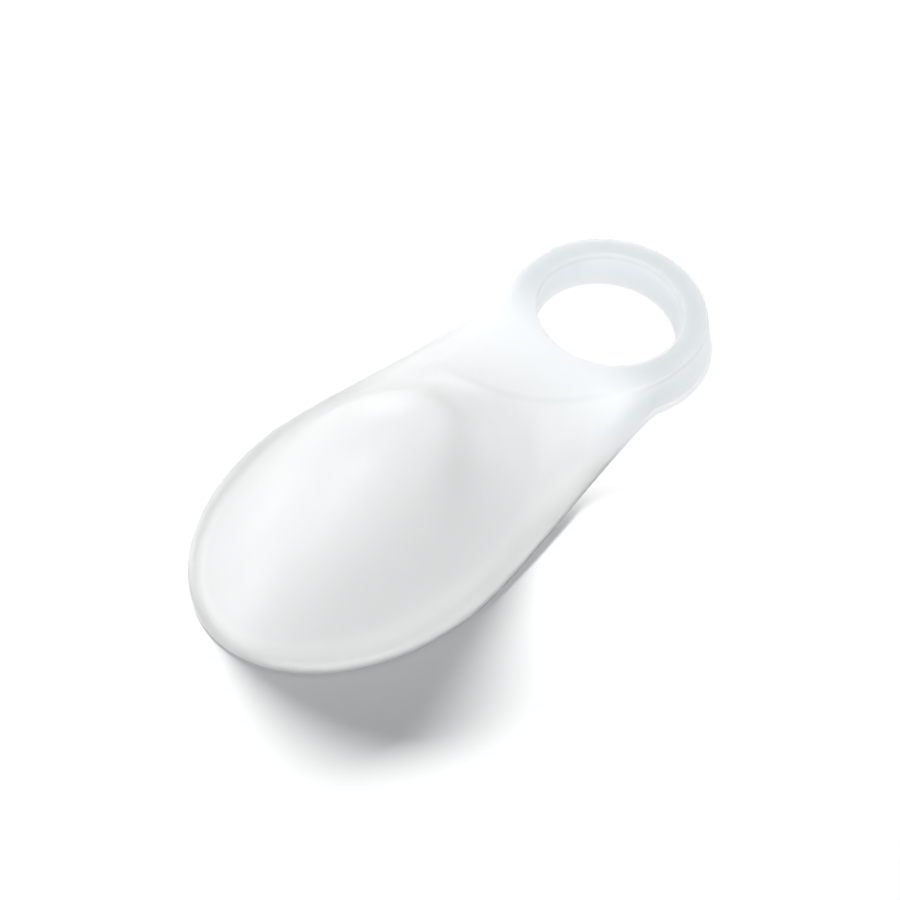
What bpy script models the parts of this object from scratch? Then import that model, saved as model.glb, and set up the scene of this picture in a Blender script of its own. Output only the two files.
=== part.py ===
# Foot protector moulded in one piece of soft clear silicone.
# A hollow domed pad covers the side joint of the foot, and a loop at its end goes round the big toe.
# Metres, +Z up. The pad rests on its rim, the loop lies at +X and the tail of the pad at -X.

import math

import bmesh
import bpy

# Driving dimensions

loop_bore = 0.0225  # diameter of the hole for the toe
loop_band = 0.0039  # width of the band's flat top
loop_height = 0.0068
side_lean = 0.0018  # how far the side of the loop leans out between its top and its foot

neck_turn = 109.5  # degrees of the loop's circle on each side, from its far end to the neck
neck_pull = 0.0035  # how long the outline keeps the circle's direction as it leaves it

pad_reach = 0.0790  # from the middle of the hole to the tip of the tail
pad_middle = 0.0499  # from the middle of the hole to the widest place
pad_width = 0.0426
pad_pull = 0.0084  # how long the outline stays parallel to the axis before the widest place

dome_height = 0.0195
dome_top = 0.0480  # from the middle of the hole to the highest place
dome_front = 0.0180  # from the middle of the hole to where the dome starts to rise
dome_bulge = 2.3  # above 2 gives a broader top
dome_side_power = 1.9  # above 1 gives the dome's sides a spreading foot
dome_tail_power = 0.85
dome_front_power = 2.2
dome_front_shape = 1.8  # below 2 narrows the dome towards the loop

land_reach = 0.0206  # from the middle of the hole to the front of the flat land round it
land_crease = 0.0010  # softness of the crease round the land
flank_hollow = 1.6  # 1 gives a straight flank below the land, above 1 a hollow one
flank_full = 0.0080  # breadth of the flank from which it is fully hollow

rim_height = 0.0012  # height of the pad's thin outer edge
rim_foot = 0.0017  # width of the flat face that the pad stands on
shell_wall = 0.0026  # thickness of the domed shell, measured upright
cup_start = 0.0180  # from the middle of the hole to the front wall of the hollow
cup_spread = 0.0260  # how far the curve of that front wall would reach to the sides
cup_side = 0.0030  # distance over which the walls of the hollow rise to its roof

bore_rounding = 0.0006
edge_rounding = 0.0008
loop_corner = 0.0001  # what is left of the edge's rounding where the loop's plain wall takes its place
foot_rounding = 0.0003

# Mesh density

sections_on_loop = 18
sections_on_neck = 16
sections_on_tail = 15
land_steps = 4
crease_steps = 3
pad_steps = 19
least_squareness = 0.28  # keeps the slanted sections of the neck inside the outline
wall_steps = 3
roof_steps = 9
rounding_steps = 2

bore_radius = loop_bore / 2
loop_top_radius = bore_radius + loop_band
loop_foot_radius = loop_top_radius + side_lean
half_width = pad_width / 2
lean = side_lean / loop_height
rim_inset = edge_rounding + lean * rim_height
body_length = pad_reach + loop_foot_radius
loop_place = body_length / 2 - loop_foot_radius


def clear_scene():
    for obj in list(bpy.data.objects):
        bpy.data.objects.remove(obj, do_unlink=True)


def ease(t):
    t = min(max(t, 0.0), 1.0)
    return t * t * (3 - 2 * t)


# The smaller of two heights, rounded off where they cross
def soft_min(a, b, reach):
    share = max(reach - abs(a - b), 0.0) / reach
    return min(a, b) - share * share * reach / 4


# Outline of the foot of the side wall, on the +Y side, from the loop's far end to the tip of the tail

def loop_outline(turn):
    return loop_foot_radius * math.cos(turn), loop_foot_radius * math.sin(turn)


def neck_outline(u):
    turn = math.radians(neck_turn)
    x0, y0 = loop_outline(turn)
    x1, y1 = x0 - neck_pull * math.sin(turn), y0 + neck_pull * math.cos(turn)
    x2, y2 = -pad_middle + pad_pull, half_width
    x3, y3 = -pad_middle, half_width
    a, b, c, d = (1 - u) ** 3, 3 * u * (1 - u) ** 2, 3 * u * u * (1 - u), u ** 3
    return a * x0 + b * x1 + c * x2 + d * x3, a * y0 + b * y1 + c * y2 + d * y3


def tail_outline(turn):
    return -pad_middle - (pad_reach - pad_middle) * math.sin(turn), half_width * math.cos(turn)


def outline_points():
    points = [loop_outline(math.radians(neck_turn) * i / sections_on_loop) for i in range(sections_on_loop)]
    points += [neck_outline((i / sections_on_neck) ** 1.3) for i in range(sections_on_neck)]
    points += [tail_outline(math.pi / 2 * i / sections_on_tail) for i in range(sections_on_tail)]
    return points + [(-pad_reach, 0.0)]


# Height of the dome above the rim, with egg-shaped contours round its top
def dome(x, y):
    behind = x < -dome_top
    reach = pad_reach - rim_inset - dome_top if behind else dome_top - dome_front
    along = (abs(x + dome_top) / reach) ** (2.0 if behind else dome_front_shape)
    spread = along + (y / (half_width - rim_inset)) ** 2
    if spread >= 1:
        return 0.0
    power = dome_side_power
    if spread > 0:
        end_power = dome_tail_power if behind else dome_front_power
        power += (end_power - power) * along / spread
    return (dome_height - rim_height) * (1 - spread ** (dome_bulge / 2)) ** power


# One closed section, along a straight line from the wall of the hole to the outline

def crossing(start, end, reach, half):
    low, high = 0.0, 1.0
    for _ in range(40):
        middle = (low + high) / 2
        x = start[0] + (end[0] - start[0]) * middle
        y = start[1] + (end[1] - start[1]) * middle
        if math.hypot(x / (reach if x < 0 else half), y / half) < 1:
            low = middle
        else:
            high = middle
    return low


def steps(start, end, count):
    return [start + (end - start) * i / count for i in range(count)]


def wall_rise(distance):
    share = min(max(distance / cup_side, 0.0), 1.0)
    return 1 - (1 - share) ** 2


def section(start, end, squareness):
    length = math.hypot(end[0] - start[0], end[1] - start[1])
    direction = ((end[0] - start[0]) / length, (end[1] - start[1]) / length)
    land = crossing(start, end, land_reach, loop_top_radius) * length
    breadth = (length - land) * squareness - side_lean
    corner = max(edge_rounding * ease(breadth / flank_full), loop_corner)
    edge = length - (corner + lean * rim_height) / squareness

    def place(s):
        return start[0] + direction[0] * s, start[1] + direction[1] * s

    # The land is level, its flank falls to the rim, and the dome swells out of the flank
    hollowness = 1 + (flank_hollow - 1) * ease(breadth / flank_full)

    def top(s):
        share = min((s - land) / (edge - land), 1.0)
        fall = (loop_height - rim_height) * (1 - abs(1 - share) ** hollowness)
        flank = soft_min(loop_height, loop_height - fall, land_crease) - rim_height
        swell = dome(*place(s))
        flank *= 1 - swell / (dome_height - rim_height)
        return rim_height + math.hypot(max(flank, 0.0), swell)

    foot = length - rim_foot / squareness
    hollow = crossing(start, end, cup_start, cup_spread) * length

    def roof(s):
        walls = wall_rise(s - hollow) * wall_rise((foot - s) * squareness)
        return max(top(s) - shell_wall, 0.0) * walls

    crease = min(land_crease, (edge - land) * 0.2)
    runs = steps(bore_rounding, land - crease, land_steps)
    runs += steps(land - crease, land + crease, crease_steps)
    runs += [land + crease + (edge - land - crease) * (1 - (1 - i / pad_steps) ** 1.2) for i in range(pad_steps)]
    points = [(*place(s), top(s)) for s in runs]
    for i in range(rounding_steps + 1):
        turn = math.pi / 2 * i / rounding_steps
        z = rim_height - corner * (1 - math.cos(turn))
        s = length - (corner * (1 - math.sin(turn)) + lean * z) / squareness
        points.append((*place(s), z))
    points.append((*place(length), foot_rounding))
    points.append((*place(length - foot_rounding), 0.0))
    front = min(hollow, bore_rounding + (foot - bore_rounding) * 0.8)
    side = min(cup_side / squareness, (foot - front) * 0.35)
    runs = steps(foot, foot - side, wall_steps) + steps(foot - side, front + side, roof_steps)
    runs += steps(front + side, front, wall_steps) + [front]
    points += [(*place(s), roof(s)) for s in runs]
    points.append((*place(foot_rounding), 0.0))
    points.append((*place(0.0), foot_rounding))
    for i in range(rounding_steps):
        turn = math.pi / 2 * i / rounding_steps
        z = loop_height - bore_rounding * (1 - math.sin(turn))
        points.append((*place(bore_rounding * (1 - math.cos(turn))), z))
    return points


# Where each section starts on the wall of the hole, and how squarely it meets the outline

def bore_point(index, count):
    turn = math.radians(neck_turn)
    if index <= sections_on_loop:
        angle = turn * index / sections_on_loop
    else:
        angle = turn + (math.pi - turn) * (index - sections_on_loop) / (count - 1 - sections_on_loop)
    return bore_radius * math.cos(angle), bore_radius * math.sin(angle)


def squareness_at(points, index, start):
    before = points[max(index - 1, 0)]
    after = points[min(index + 1, len(points) - 1)]
    if index in (0, len(points) - 1):
        return 1.0
    tangent = (after[0] - before[0], after[1] - before[1])
    line = (points[index][0] - start[0], points[index][1] - start[1])
    cross = abs(tangent[0] * line[1] - tangent[1] * line[0])
    return max(cross / (math.hypot(*tangent) * math.hypot(*line)), least_squareness)


def all_sections():
    outline = outline_points()
    result = []
    for index, end in enumerate(outline):
        start = bore_point(index, len(outline))
        result.append(section(start, end, squareness_at(outline, index, start)))
    return result


def half_body_mesh():
    sections = all_sections()
    body = bmesh.new()
    rings = []
    for index, points in enumerate(sections):
        on_axis = index in (0, len(sections) - 1)
        rings.append([body.verts.new((x, 0.0 if on_axis else y, z)) for x, y, z in points])
    for ring, following in zip(rings, rings[1:]):
        count = len(ring)
        for i in range(count):
            j = (i + 1) % count
            body.faces.new((ring[i], ring[j], following[j], following[i]))
    bmesh.ops.recalc_face_normals(body, faces=body.faces)
    mesh = bpy.data.meshes.new("foot_protector")
    body.to_mesh(mesh)
    body.free()
    return mesh


def silicone():
    material = bpy.data.materials.new("clear_silicone")
    material.use_nodes = True
    shader = material.node_tree.nodes["Principled BSDF"]
    shader.inputs["Base Color"].default_value = (0.86, 0.89, 0.90, 1.0)
    shader.inputs["Roughness"].default_value = 0.42
    shader.inputs["Metallic"].default_value = 0.0
    shader.inputs["Subsurface Weight"].default_value = 0.6
    shader.inputs["Subsurface Radius"].default_value = (0.006, 0.006, 0.006)
    return material


def build_foot_protector():
    mesh = half_body_mesh()
    mesh.materials.append(silicone())
    mesh.shade_smooth()
    mesh.set_sharp_from_angle(angle=math.radians(40))
    body = bpy.data.objects.new("foot_protector", mesh)
    bpy.context.scene.collection.objects.link(body)
    mirror = body.modifiers.new("other_side", "MIRROR")
    mirror.use_axis = (False, True, False)
    mirror.use_clip = True
    mirror.merge_threshold = 0.00005
    body.location.x = loop_place
    return body


clear_scene()
build_foot_protector()
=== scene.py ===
# Foot protector moulded in one piece of soft clear silicone: a hollow domed pad, a neck and a toe loop.
import math

import bmesh
import bpy
from mathutils import Matrix, Vector


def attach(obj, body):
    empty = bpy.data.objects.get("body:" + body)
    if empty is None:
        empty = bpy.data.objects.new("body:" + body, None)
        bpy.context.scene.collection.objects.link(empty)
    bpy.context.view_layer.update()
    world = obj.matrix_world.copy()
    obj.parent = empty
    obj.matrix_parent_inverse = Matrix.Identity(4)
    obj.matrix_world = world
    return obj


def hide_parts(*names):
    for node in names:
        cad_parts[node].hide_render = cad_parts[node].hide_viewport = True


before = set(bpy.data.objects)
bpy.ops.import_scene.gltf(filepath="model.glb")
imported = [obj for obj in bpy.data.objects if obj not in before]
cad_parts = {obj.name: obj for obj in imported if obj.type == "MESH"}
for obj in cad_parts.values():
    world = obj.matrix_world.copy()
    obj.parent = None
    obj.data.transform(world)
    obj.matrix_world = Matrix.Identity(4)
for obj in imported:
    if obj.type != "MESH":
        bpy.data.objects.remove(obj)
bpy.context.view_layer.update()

print("frame loaded")


# The moulding's shape, all sizes in metres.
# Places along the pad are measured from the middle of the toe hole, towards the tail.
shape = {
    "loopBore": 0.0225,
    "loopBand": 0.0039,  # width of the loop's flat top
    "loopHeight": 0.0068,
    "sideLean": 0.0018,  # how far the loop's side leans out between its top and its foot
    "neckTurn": 109.5,  # degrees of the loop's circle on each side, from its far end to the neck
    "neckPull": 0.0035,
    "padReach": 0.0790,
    "padMiddle": 0.0499,
    "padWidth": 0.0426,
    "padPull": 0.0084,
    "domeHeight": 0.01948,  # just under the solid's, so that the mesh stays inside its box
    "domeTop": 0.0480,
    "domeFront": 0.0180,  # where the dome starts to rise
    "domeBulge": 2.3,  # above 2 gives a broader top
    "domeSidePower": 1.9,  # above 1 gives the dome's sides a spreading foot
    "domeTailPower": 0.85,
    "domeFrontPower": 2.2,
    "domeFrontShape": 1.8,  # below 2 narrows the dome towards the loop
    "landReach": 0.0206,  # to the front of the flat land round the hole
    "landCrease": 0.0010,
    "creaseShare": 0.2,  # the most of a flank that the soft crease at its top may take
    "flankHollow": 1.6,  # above 1 gives a hollow flank below the land
    "flankFull": 0.0080,
    "rimHeight": 0.0012,
    "rimFoot": 0.0017,
    "shellWall": 0.0026,
    "cupStart": 0.0180,  # to the front wall of the hollow under the pad
    "cupSpread": 0.0260,
    "cupSide": 0.0030,
    "cupFrontShare": 0.8,  # the most of a section that stays solid in front of the hollow
    "cupSideShare": 0.35,  # the most of the hollow that each of its walls takes
    "boreRounding": 0.0006,
    "edgeRounding": 0.0008,
    "loopCorner": 0.0001,
    "footRounding": 0.0003,
    "edgeProbe": 0.0004,  # how far from the edge its steepness is taken
    "edgeSteep": 1.6,  # slope above which the edge is nearly straight
}

# How finely each stretch of the mesh is divided
fineness = {
    "loop": 54,
    "neck": 60,
    "tail": 60,
    "land": 12,
    "crease": 10,
    "pad": 72,
    "wall": 8,
    "roof": 34,
    "rounding": 6,
    "neckCrowding": 1.3,  # above 1 sets the sections closer together next to the loop
    "padCrowding": 1.2,
    "leastSquareness": 0.28,
    "merge": 0.00001,  # points closer than this become one
    "sharpAngle": 40,  # degrees between two faces above which their edge stays crisp
}

boreRadius = shape["loopBore"] / 2
loopTopRadius = boreRadius + shape["loopBand"]
loopFootRadius = loopTopRadius + shape["sideLean"]
halfWidth = shape["padWidth"] / 2
lean = shape["sideLean"] / shape["loopHeight"]
rimInset = shape["edgeRounding"] + lean * shape["rimHeight"]
loopPlace = (shape["padReach"] - loopFootRadius) / 2  # the hole's middle, in the frame of the whole part


def ease(t):
    t = min(max(t, 0.0), 1.0)
    return t * t * (3 - 2 * t)


# the smaller of two heights, rounded off where they cross
def softMin(a, b, reach):
    share = max(reach - abs(a - b), 0.0) / reach
    return min(a, b) - share * share * reach / 4


def loopOutline(turn):
    return loopFootRadius * math.cos(turn), loopFootRadius * math.sin(turn)


def neckOutline(u):
    turn = math.radians(shape["neckTurn"])
    x0, y0 = loopOutline(turn)
    x1 = x0 - shape["neckPull"] * math.sin(turn)
    y1 = y0 + shape["neckPull"] * math.cos(turn)
    x2 = -shape["padMiddle"] + shape["padPull"]
    x3 = -shape["padMiddle"]
    a, b, c, d = (1 - u) ** 3, 3 * u * (1 - u) ** 2, 3 * u * u * (1 - u), u ** 3
    return a * x0 + b * x1 + c * x2 + d * x3, a * y0 + b * y1 + (c + d) * halfWidth


def tailOutline(turn):
    tail = shape["padReach"] - shape["padMiddle"]
    return -shape["padMiddle"] - tail * math.sin(turn), halfWidth * math.cos(turn)


# the foot of the side wall on the +Y side, from the loop's far end to the tip of the tail
def outlinePoints():
    turn = math.radians(shape["neckTurn"])
    loop, neck, tail = fineness["loop"], fineness["neck"], fineness["tail"]
    points = [loopOutline(turn * i / loop) for i in range(loop)]
    points += [neckOutline((i / neck) ** fineness["neckCrowding"]) for i in range(neck)]
    points += [tailOutline(math.pi / 2 * i / tail) for i in range(tail)]
    return points + [(-shape["padReach"], 0.0)]


# height of the dome above the rim: egg-shaped contours round its top
def dome(x, y):
    top = shape["domeTop"]
    behind = x < -top
    reach = shape["padReach"] - rimInset - top if behind else top - shape["domeFront"]
    along = (abs(x + top) / reach) ** (2.0 if behind else shape["domeFrontShape"])
    spread = along + (y / (halfWidth - rimInset)) ** 2
    if spread >= 1:
        return 0.0
    power = shape["domeSidePower"]
    if spread > 0:
        endPower = shape["domeTailPower"] if behind else shape["domeFrontPower"]
        power += (endPower - power) * along / spread
    height = shape["domeHeight"] - shape["rimHeight"]
    return height * (1 - spread ** (shape["domeBulge"] / 2)) ** power


# share of the way from start to end at which a line leaves the oval of this reach and half width
def crossing(start, end, reach, half):
    low, high = 0.0, 1.0
    for _ in range(30):
        middle = (low + high) / 2
        x = start[0] + (end[0] - start[0]) * middle
        y = start[1] + (end[1] - start[1]) * middle
        if math.hypot(x / (reach if x < 0 else half), y / half) < 1:
            low = middle
        else:
            high = middle
    return low


def steps(start, end, count):
    return [start + (end - start) * i / count for i in range(count)]


def wallRise(distance):
    share = min(max(distance / shape["cupSide"], 0.0), 1.0)
    return 1 - (1 - share) ** 2


# one closed section, along a straight line from the wall of the hole to the outline
def section(start, end, squareness):
    length = math.hypot(end[0] - start[0], end[1] - start[1])
    direction = ((end[0] - start[0]) / length, (end[1] - start[1]) / length)
    land = crossing(start, end, shape["landReach"], loopTopRadius) * length
    breadth = (length - land) * squareness - shape["sideLean"]
    fullness = ease(breadth / shape["flankFull"])
    corner = max(shape["edgeRounding"] * fullness, shape["loopCorner"])
    edge = length - (corner + lean * shape["rimHeight"]) / squareness
    hollowness = 1 + (shape["flankHollow"] - 1) * fullness
    boreRounding, footRounding = shape["boreRounding"], shape["footRounding"]

    def place(s):
        return start[0] + direction[0] * s, start[1] + direction[1] * s

    # the land is level, its flank falls to the rim, and the dome swells out of the flank
    def top(s):
        share = min((s - land) / (edge - land), 1.0)
        fall = (shape["loopHeight"] - shape["rimHeight"]) * (1 - abs(1 - share) ** hollowness)
        flank = softMin(shape["loopHeight"], shape["loopHeight"] - fall, shape["landCrease"])
        swell = dome(*place(s))
        flank = (flank - shape["rimHeight"]) * (1 - swell / (shape["domeHeight"] - shape["rimHeight"]))
        return shape["rimHeight"] + math.hypot(max(flank, 0.0), swell)

    foot = length - shape["rimFoot"] / squareness
    hollow = crossing(start, end, shape["cupStart"], shape["cupSpread"]) * length

    def roof(s):
        walls = wallRise(s - hollow) * wallRise((foot - s) * squareness)
        return max(top(s) - shape["shellWall"], 0.0) * walls

    soft = min(shape["landCrease"], (edge - land) * shape["creaseShare"])
    runs = steps(boreRounding, land - soft, fineness["land"])
    runs += steps(land - soft, land + soft, fineness["crease"])
    pad, crowding = fineness["pad"], fineness["padCrowding"]
    runs += [land + soft + (edge - land - soft) * (1 - (1 - i / pad) ** crowding) for i in range(pad)]
    points = [(*place(s), top(s)) for s in runs]
    rounding = fineness["rounding"]
    # the edge is round where the pad runs out flat, and nearly straight under the steep tail
    slope = (top(edge - shape["edgeProbe"]) - shape["rimHeight"]) / shape["edgeProbe"]
    steepness = ease(slope / shape["edgeSteep"])
    for i in range(rounding + 1):
        turn = math.pi / 2 * i / rounding
        down = 1 - math.cos(turn) + (i / rounding - 1 + math.cos(turn)) * steepness
        inward = 1 - math.sin(turn) - (i / rounding - math.sin(turn)) * steepness
        z = shape["rimHeight"] - corner * down
        points.append((*place(length - (corner * inward + lean * z) / squareness), z))
    points.append((*place(length), footRounding))
    points.append((*place(length - footRounding), 0.0))
    front = min(hollow, boreRounding + (foot - boreRounding) * shape["cupFrontShare"])
    side = min(shape["cupSide"] / squareness, (foot - front) * shape["cupSideShare"])
    runs = steps(foot, foot - side, fineness["wall"]) + steps(foot - side, front + side, fineness["roof"])
    runs += steps(front + side, front, fineness["wall"]) + [front]
    points += [(*place(s), roof(s)) for s in runs]
    points.append((*place(footRounding), 0.0))
    points.append((*place(0.0), footRounding))
    for i in range(rounding):
        turn = math.pi / 2 * i / rounding
        z = shape["loopHeight"] - boreRounding * (1 - math.sin(turn))
        points.append((*place(boreRounding * (1 - math.cos(turn))), z))
    return points


def borePoint(index, count):
    turn = math.radians(shape["neckTurn"])
    angle = turn * index / fineness["loop"]
    if index > fineness["loop"]:
        angle = turn + (math.pi - turn) * (index - fineness["loop"]) / (count - 1 - fineness["loop"])
    return boreRadius * math.cos(angle), boreRadius * math.sin(angle)


# 1 where a section meets the outline squarely, less where it meets it at a slant
def squarenessAt(points, index, start):
    if index in (0, len(points) - 1):
        return 1.0
    before, after = points[index - 1], points[index + 1]
    tangent = (after[0] - before[0], after[1] - before[1])
    line = (points[index][0] - start[0], points[index][1] - start[1])
    cross = abs(tangent[0] * line[1] - tangent[1] * line[0])
    return max(cross / (math.hypot(*tangent) * math.hypot(*line)), fineness["leastSquareness"])


# A fine crease runs across the neck on part of a circle, pressed into the top
crease = {
    "middle": (-0.00434, 0.00902),  # the circle's, from the middle of the toe hole
    "radius": 0.02147,
    "breadth": 0.0011,
    "depth": 0.00011,
    "ends": ((-0.0115, -0.0165), (0.0130, 0.0060), (0.0030, 0.0050)),  # where it fades in, in x, y and z
}


def creaseAt(x, y, z):
    off = abs(math.hypot(x - crease["middle"][0], y - crease["middle"][1]) - crease["radius"])
    line = ease(1 - off / crease["breadth"])
    for value, (start, end) in zip((x, y, z), crease["ends"]):
        line *= ease((value - start) / (end - start))
    return line


# A shallow dent runs round the nose of the dome and along its side, through these places
dent = {
    "path": (  # from the hole's middle
        (-0.0365, 0.0090), (-0.0340, 0.0040), (-0.0350, -0.0015),
        (-0.0385, -0.0060), (-0.0450, -0.0105), (-0.0540, -0.0130),
    ),
    "breadth": 0.0054,
    "depth": 0.0009,
    "fade": 0.35,  # share of the way over which it fades in at each end
}


def dentAt(x, y):
    nearest, along = 1.0, 0.0
    count = len(dent["path"]) - 1
    for index, (start, end) in enumerate(zip(dent["path"], dent["path"][1:])):
        dx, dy = end[0] - start[0], end[1] - start[1]
        share = ((x - start[0]) * dx + (y - start[1]) * dy) / (dx * dx + dy * dy)
        share = min(max(share, 0.0), 1.0)
        away = math.hypot(x - start[0] - dx * share, y - start[1] - dy * share)
        if away < nearest:
            nearest, along = away, (index + share) / count
    ends = ease(along / dent["fade"]) * ease((1 - along) / dent["fade"])
    return ease(1 - nearest / dent["breadth"]) * ends


facingUp = 0.3  # how far up a point faces if it is part of the top


def pressMarks(body):
    body.normal_update()
    for vert in body.verts:
        if vert.normal.z > facingUp:
            x, y, z = vert.co.x - loopPlace, vert.co.y, vert.co.z
            vert.co.z -= crease["depth"] * creaseAt(x, y, z) + dent["depth"] * dentAt(x, y)


def buildMoulding():
    outline = outlinePoints()
    sections = []
    for index, end in enumerate(outline):
        start = borePoint(index, len(outline))
        sections.append(section(start, end, squarenessAt(outline, index, start)))
    body = bmesh.new()
    rings = []
    for index, points in enumerate(sections):
        onAxis = index in (0, len(sections) - 1)
        rings.append([body.verts.new((x + loopPlace, 0.0 if onAxis else y, z)) for x, y, z in points])
    for ring, following in zip(rings, rings[1:]):
        for i in range(len(ring)):
            j = (i + 1) % len(ring)
            body.faces.new((ring[i], ring[j], following[j], following[i]))
    half = bmesh.ops.duplicate(body, geom=body.verts[:] + body.edges[:] + body.faces[:])
    for vert in [item for item in half["geom"] if isinstance(item, bmesh.types.BMVert)]:
        vert.co.y = -vert.co.y
    bmesh.ops.remove_doubles(body, verts=body.verts, dist=fineness["merge"])
    bmesh.ops.recalc_face_normals(body, faces=body.faces)
    pressMarks(body)
    mesh = bpy.data.meshes.new("footProtectorMoulding")
    body.to_mesh(mesh)
    body.free()
    mesh.shade_smooth()
    mesh.set_sharp_from_angle(angle=math.radians(fineness["sharpAngle"]))
    piece = bpy.data.objects.new("footProtectorMoulding", mesh)
    bpy.context.scene.collection.objects.link(piece)
    return piece


# Frosted clear silicone: milky in the pad, clearer and bluer in the loop
silicone = {
    "milk": (0.890, 0.902, 0.910, 1.0),  # the milky pad
    "milkShade": (0.840, 0.866, 0.872, 1.0),  # cooler patches in it
    "clear": (0.690, 0.714, 0.732, 1.0),  # the top of the loop's thin band, clearer and bluer
    "clearShade": (0.652, 0.685, 0.698, 1.0),
    "wall": (0.790, 0.820, 0.840, 1.0),  # the loop's walls, painted lighter: painted light for the light that comes through the band
    "wallLightTop": 0.0066,  # height where the walls start to give way to the band's top
    "wallLightFull": 0.0056,
    "waistShade": (0.800, 0.828, 0.846, 1.0),  # darker and bluer low on the neck's sides, next to the loop: painted shade, with the clearer band's bluish tint
    "waistShadeFrom": -0.0230,
    "waistShadeTo": -0.0110,
    "waistShadeTop": 0.0054,
    "waistShadeFull": 0.0034,
    "edge": (0.985, 0.990, 0.990, 1.0),  # the thin edge of the pad, painted paler: painted light for the light that comes through it
    "edgeLightTop": 0.0040,  # height where the painted light on the edge starts
    "edgeLightFull": 0.0010,
    "bandFrom": -0.0135,  # along the part from the hole's middle, where the milk starts to give way
    "bandTo": -0.0030,
    # painted shade along the crease across the neck
    "creasePaintedShade": (0.830, 0.850, 0.858, 1.0),
    "patchScale": 60.0,
    "patchDetail": 3.0,
    "roughness": 0.42,
    "roughnessSwing": 0.06,
    "ior": 1.41,
    "depth": 0.0050,  # how far light wanders inside
    "transmission": 0.10,
    "grainScale": 2600.0,
    "grainDetail": 2.0,
    "grainHeight": 0.00002,
    "grainStrength": 0.4,
}


def addNode(tree, kind, **settings):
    node = tree.nodes.new(kind)
    for socket, value in settings.items():
        node.inputs[socket].default_value = value
    return node


def mixColours(tree, factor, first, second):
    blend = tree.nodes.new("ShaderNodeMix")
    blend.data_type = "RGBA"
    tree.links.new(factor, blend.inputs["Factor"])
    for socket, colour in (("A", first), ("B", second)):
        if isinstance(colour, tuple):
            blend.inputs[socket].default_value = colour
        else:
            tree.links.new(colour, blend.inputs[socket])
    return blend.outputs["Result"]


# 0 at start and before it, 1 at end and after it, with a soft change between them
def mapRange(tree, value, start, end):
    ramp = tree.nodes.new("ShaderNodeMapRange")
    ramp.interpolation_type = "SMOOTHSTEP"
    ramp.inputs["From Min"].default_value = start
    ramp.inputs["From Max"].default_value = end
    tree.links.new(value, ramp.inputs["Value"])
    return ramp.outputs["Result"]


def calculate(tree, operation, first, second=None):
    step = tree.nodes.new("ShaderNodeMath")
    step.operation = operation
    tree.links.new(first, step.inputs[0])
    if isinstance(second, (int, float)):
        step.inputs[1].default_value = second
    elif second is not None:
        tree.links.new(second, step.inputs[1])
    return step.outputs["Value"]


# 1 along the crease across the neck, which pressMarks presses into the mesh and the material paints with
# shade, and 0 elsewhere
def creaseLine(tree, apart):
    flat = tree.nodes.new("ShaderNodeCombineXYZ")
    tree.links.new(apart.outputs["X"], flat.inputs["X"])
    tree.links.new(apart.outputs["Y"], flat.inputs["Y"])
    away = tree.nodes.new("ShaderNodeVectorMath")
    away.operation = "DISTANCE"
    tree.links.new(flat.outputs["Vector"], away.inputs[0])
    away.inputs[1].default_value = (crease["middle"][0] + loopPlace, crease["middle"][1], 0.0)
    off = calculate(tree, "SUBTRACT", away.outputs["Value"], crease["radius"])
    off = calculate(tree, "ABSOLUTE", off)
    line = mapRange(tree, off, crease["breadth"], 0.0)
    for axis, ends, place in zip("XYZ", crease["ends"], (loopPlace, 0.0, 0.0)):
        fade = mapRange(tree, apart.outputs[axis], ends[0] + place, ends[1] + place)
        line = calculate(tree, "MULTIPLY", line, fade)
    return line


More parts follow.
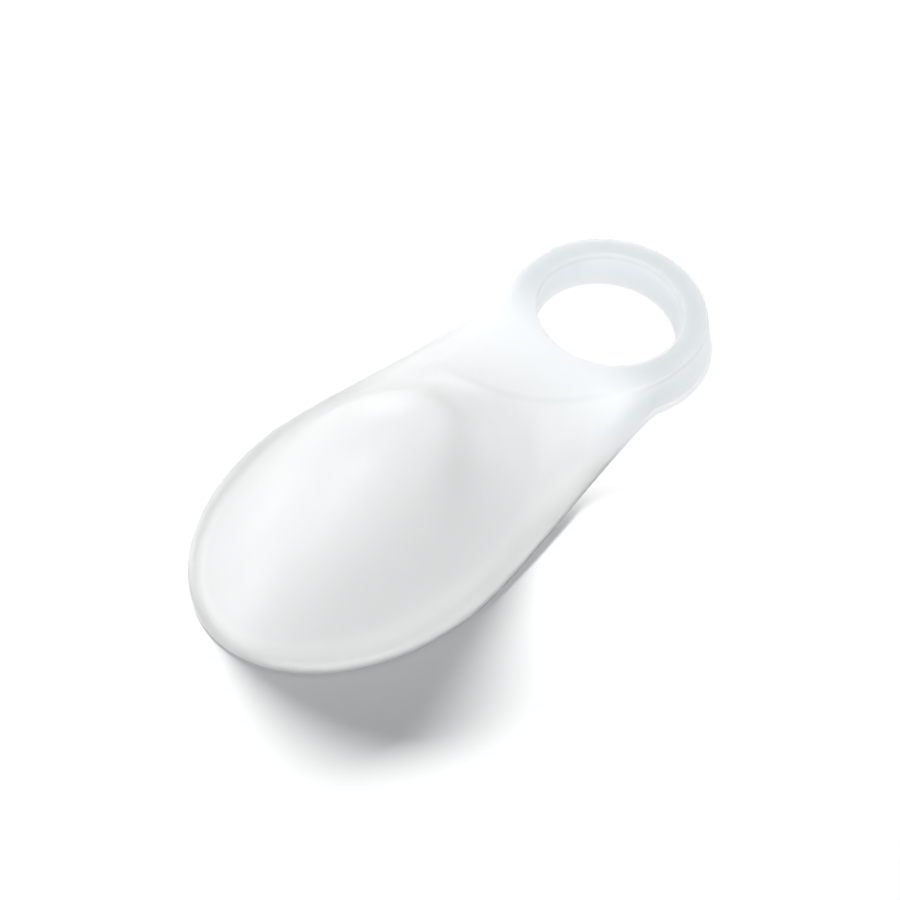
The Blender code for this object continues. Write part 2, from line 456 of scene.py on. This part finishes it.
def makeSilicone():
    material = bpy.data.materials.new("frostedSilicone")
    material.use_nodes = True
    tree = material.node_tree
    shader = tree.nodes["Principled BSDF"]
    shader.inputs["IOR"].default_value = silicone["ior"]
    shader.inputs["Subsurface Weight"].default_value = 1.0
    shader.inputs["Subsurface Radius"].default_value = (1.0, 1.0, 1.0)
    shader.inputs["Subsurface Scale"].default_value = silicone["depth"]
    shader.inputs["Transmission Weight"].default_value = silicone["transmission"]
    coords = tree.nodes.new("ShaderNodeTexCoord")

    patches = addNode(tree, "ShaderNodeTexNoise", Scale=silicone["patchScale"], Detail=silicone["patchDetail"])
    tree.links.new(coords.outputs["Object"], patches.inputs["Vector"])
    apart = tree.nodes.new("ShaderNodeSeparateXYZ")
    tree.links.new(coords.outputs["Object"], apart.inputs["Vector"])
    along, height = apart.outputs["X"], apart.outputs["Z"]
    band = mapRange(tree, along, silicone["bandFrom"] + loopPlace, silicone["bandTo"] + loopPlace)
    # painted light: the mask for the loop's walls, which are painted lighter than the band's top
    walls = mapRange(tree, height, silicone["wallLightTop"], silicone["wallLightFull"])
    line = creaseLine(tree, apart)
    # painted light: the low parts of the pad, its thin edge most, are painted paler
    edge = mapRange(tree, height, silicone["edgeLightTop"], silicone["edgeLightFull"])
    milk = mixColours(tree, patches.outputs["Fac"], silicone["milk"], silicone["milkShade"])
    milk = mixColours(tree, edge, milk, silicone["edge"])
    clear = mixColours(tree, patches.outputs["Fac"], silicone["clear"], silicone["clearShade"])
    clear = mixColours(tree, walls, clear, silicone["wall"])
    # painted shade, low on the neck's sides next to the loop
    waistShade = mapRange(tree, along, silicone["waistShadeFrom"] + loopPlace, silicone["waistShadeTo"] + loopPlace)
    waistShadeLow = mapRange(tree, height, silicone["waistShadeTop"], silicone["waistShadeFull"])
    waistShade = calculate(tree, "MULTIPLY", waistShade, waistShadeLow)
    milk = mixColours(tree, waistShade, milk, silicone["waistShade"])
    # painted shade: the crease is painted darker
    colour = mixColours(tree, line, mixColours(tree, band, milk, clear), silicone["creasePaintedShade"])
    tree.links.new(colour, shader.inputs["Base Color"])

    gloss = tree.nodes.new("ShaderNodeMapRange")
    gloss.inputs["To Min"].default_value = silicone["roughness"] - silicone["roughnessSwing"]
    gloss.inputs["To Max"].default_value = silicone["roughness"] + silicone["roughnessSwing"]
    tree.links.new(patches.outputs["Fac"], gloss.inputs["Value"])
    tree.links.new(gloss.outputs["Result"], shader.inputs["Roughness"])
    grain = addNode(tree, "ShaderNodeTexNoise", Scale=silicone["grainScale"], Detail=silicone["grainDetail"])
    tree.links.new(coords.outputs["Object"], grain.inputs["Vector"])
    bump = tree.nodes.new("ShaderNodeBump")
    bump.inputs["Strength"].default_value = silicone["grainStrength"]
    bump.inputs["Distance"].default_value = silicone["grainHeight"]
    tree.links.new(grain.outputs["Fac"], bump.inputs["Height"])
    tree.links.new(bump.outputs["Normal"], shader.inputs["Normal"])
    return material


moulding = buildMoulding()
moulding.data.materials.append(makeSilicone())
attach(moulding, "root")
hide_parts("foot_protector")
print("moulding built:", len(moulding.data.polygons), "faces")


# A pale floor that fades to white far off and, as painted light over the shadow there, round the loop; and an
# even sky
stage = {
    "floorSize": 3.0,
    "floorDrop": 0.00002,  # keeps the floor just under the part
    "floorColour": (0.90, 0.90, 0.90, 1.0),
    "skyColour": (0.97, 0.99, 1.0, 1.0),
    "skyStrength": 0.30,
    "paintedLightFrom": 0.038,  # from the hole's middle, where painted light starts to whiten the floor round the loop, over the shadow there
    "paintedLightTo": 0.028,
    "farFrom": 0.13,  # and where the floor far off does
    "farTo": 0.25,
    "glowFrom": 0.027,  # the same for the light that this white floor sends up through the loop
    "glowTo": 0.014,
    "glow": 0.9,
}

# Soft lamps: direction round the part and height angle in degrees, power, and what each one lights
lamps = {
    "windowLight": {"azimuth": 152, "elevation": 31, "power": 6.8, "lights": "floor", "size": (0.42, 0.07)},
    "floorFill": {"azimuth": 0, "elevation": 88, "power": 0.16, "lights": "floor"},
    "overhead": {"azimuth": 0, "elevation": 88, "power": 1.47, "lights": "moulding"},
    "frontHigh": {"azimuth": 325, "elevation": 49, "power": 0.92, "lights": "moulding"},
    "nearSoft": {"azimuth": 5, "elevation": 30, "power": 0.58, "lights": "moulding"},
    "endLow": {"azimuth": 80, "elevation": 12, "power": 0.53, "lights": "moulding"},
    "backLow": {"azimuth": 140, "elevation": 12, "power": 1.06, "lights": "moulding"},
    "sideLow": {"azimuth": 200, "elevation": 12, "power": 0.86, "lights": "moulding"},
    "tailLow": {"azimuth": 260, "elevation": 12, "power": 1.45, "lights": "moulding"},
}
lampSize = (0.36, 0.36)  # width and height of a lamp that gives none
lampDistance = 0.6


# 1 for the rays that should see the plain floor and white surroundings
def seenDirectly(tree):
    rays = tree.nodes.new("ShaderNodeLightPath")
    factor = rays.outputs["Is Camera Ray"]
    for name in ("Is Glossy Ray", "Is Transmission Ray"):
        factor = calculate(tree, "MAXIMUM", factor, rays.outputs[name])
    return factor


def mixShaders(tree, factor, first, second):
    blend = tree.nodes.new("ShaderNodeMixShader")
    tree.links.new(factor, blend.inputs["Fac"])
    tree.links.new(first, blend.inputs[1])
    tree.links.new(second, blend.inputs[2])
    return blend.outputs["Shader"]


# the camera sees a floor that fades to white far off and, as painted light over the shadow there, round the
# loop; other rays see its paint and its glow under the loop
def makeFloor():
    plane = bmesh.new()
    bmesh.ops.create_grid(plane, x_segments=1, y_segments=1, size=stage["floorSize"] / 2)
    mesh = bpy.data.meshes.new("studioFloor")
    plane.to_mesh(mesh)
    plane.free()
    floor = bpy.data.objects.new("studioFloor", mesh)
    bpy.context.scene.collection.objects.link(floor)
    floor.location.z = -stage["floorDrop"]
    material = bpy.data.materials.new("paleFloor")
    material.use_nodes = True
    tree = material.node_tree
    tree.nodes.clear()
    paint = tree.nodes.new("ShaderNodeBsdfDiffuse")
    paint.inputs["Color"].default_value = stage["floorColour"]
    seen = tree.nodes.new("ShaderNodeBsdfDiffuse")
    seen.inputs["Color"].default_value = (1.0, 1.0, 1.0, 1.0)
    white = tree.nodes.new("ShaderNodeEmission")
    coords = tree.nodes.new("ShaderNodeTexCoord")
    away = tree.nodes.new("ShaderNodeVectorMath")
    away.operation = "DISTANCE"
    away.inputs[1].default_value = (loopPlace, 0.0, 0.0)
    tree.links.new(coords.outputs["Object"], away.inputs[0])
    # painted light: the floor seen round the loop is made white, over the loop's shadow
    near = mapRange(tree, away.outputs["Value"], stage["paintedLightFrom"], stage["paintedLightTo"])
    far = mapRange(tree, away.outputs["Value"], stage["farFrom"], stage["farTo"])
    whiteness = calculate(tree, "MAXIMUM", near, far)
    glow = mapRange(tree, away.outputs["Value"], stage["glowFrom"], stage["glowTo"])
    glow = calculate(tree, "MULTIPLY", glow, stage["glow"])
    shown = mixShaders(tree, whiteness, seen.outputs["BSDF"], white.outputs["Emission"])
    lit = mixShaders(tree, glow, paint.outputs["BSDF"], white.outputs["Emission"])
    output = tree.nodes.new("ShaderNodeOutputMaterial")
    tree.links.new(mixShaders(tree, seenDirectly(tree), lit, shown), output.inputs["Surface"])
    mesh.materials.append(material)
    return floor


def makeSky():
    world = bpy.data.worlds.new("studioSky")
    bpy.context.scene.world = world
    world.use_nodes = True
    tree = world.node_tree
    tree.nodes.clear()
    sky = tree.nodes.new("ShaderNodeBackground")
    sky.inputs["Color"].default_value = stage["skyColour"]
    sky.inputs["Strength"].default_value = stage["skyStrength"]
    white = tree.nodes.new("ShaderNodeBackground")
    white.inputs["Color"].default_value = (1.0, 1.0, 1.0, 1.0)
    shown = mixShaders(tree, seenDirectly(tree), sky.outputs["Background"], white.outputs["Background"])
    output = tree.nodes.new("ShaderNodeOutputWorld")
    tree.links.new(shown, output.inputs["Surface"])


# from the part to a lamp or the camera, for angles in radians
def towards(azimuth, elevation):
    flat = math.cos(elevation)
    return Vector((math.sin(azimuth) * flat, -math.cos(azimuth) * flat, math.sin(elevation)))


def makeLamps(targets):
    groups = {}
    for name, thing in targets.items():
        groups[name] = bpy.data.collections.new(name + "Lit")
        groups[name].objects.link(thing)
    for name, lamp in lamps.items():
        toLamp = towards(math.radians(lamp["azimuth"]), math.radians(lamp["elevation"]))
        data = bpy.data.lights.new(name, "AREA")
        data.shape = "ELLIPSE"
        data.size, data.size_y = lamp.get("size", lampSize)
        data.energy = lamp["power"]
        light = bpy.data.objects.new(name, data)
        bpy.context.scene.collection.objects.link(light)
        light.location = toLamp * lampDistance
        light.rotation_euler = toLamp.to_track_quat("Z", "Y").to_euler()
        light.light_linking.receiver_collection = groups[lamp["lights"]]


floor = makeFloor()
makeSky()
makeLamps({"floor": floor, "moulding": moulding})
print("floor and light set")

view = {
    "azimuth": -48.42,
    "elevation": 52.95,
    "roll": 4.19,
    "distance": 0.220,
    "aim": (-0.03353, 0.00095),  # from the middle of the toe hole, on the floor
    "focus": 1489.0 / 900,  # lens length as a share of the sensor's width
    "sensor": 36,
    "nearest": 0.005,
}


def makeCamera():
    azimuth, elevation, roll = (math.radians(view[name]) for name in ("azimuth", "elevation", "roll"))
    back = towards(azimuth, elevation)
    right = Vector((0, 0, 1)).cross(back).normalized()
    up = back.cross(right)
    tiltedRight = right * math.cos(roll) + up * math.sin(roll)
    tiltedUp = up * math.cos(roll) - right * math.sin(roll)
    data = bpy.data.cameras.new("photoView")
    data.sensor_width = view["sensor"]
    data.lens = view["focus"] * view["sensor"]
    data.clip_start = view["nearest"]
    camera = bpy.data.objects.new("photoView", data)
    bpy.context.scene.collection.objects.link(camera)
    placing = Matrix((tiltedRight, tiltedUp, back)).transposed().to_4x4()
    aim = Vector((view["aim"][0] + loopPlace, view["aim"][1], 0.0))
    placing.translation = aim + back * view["distance"]
    camera.matrix_world = placing
    bpy.context.scene.camera = camera


makeCamera()
bpy.context.scene.view_settings.view_transform = "Standard"
print("camera set")
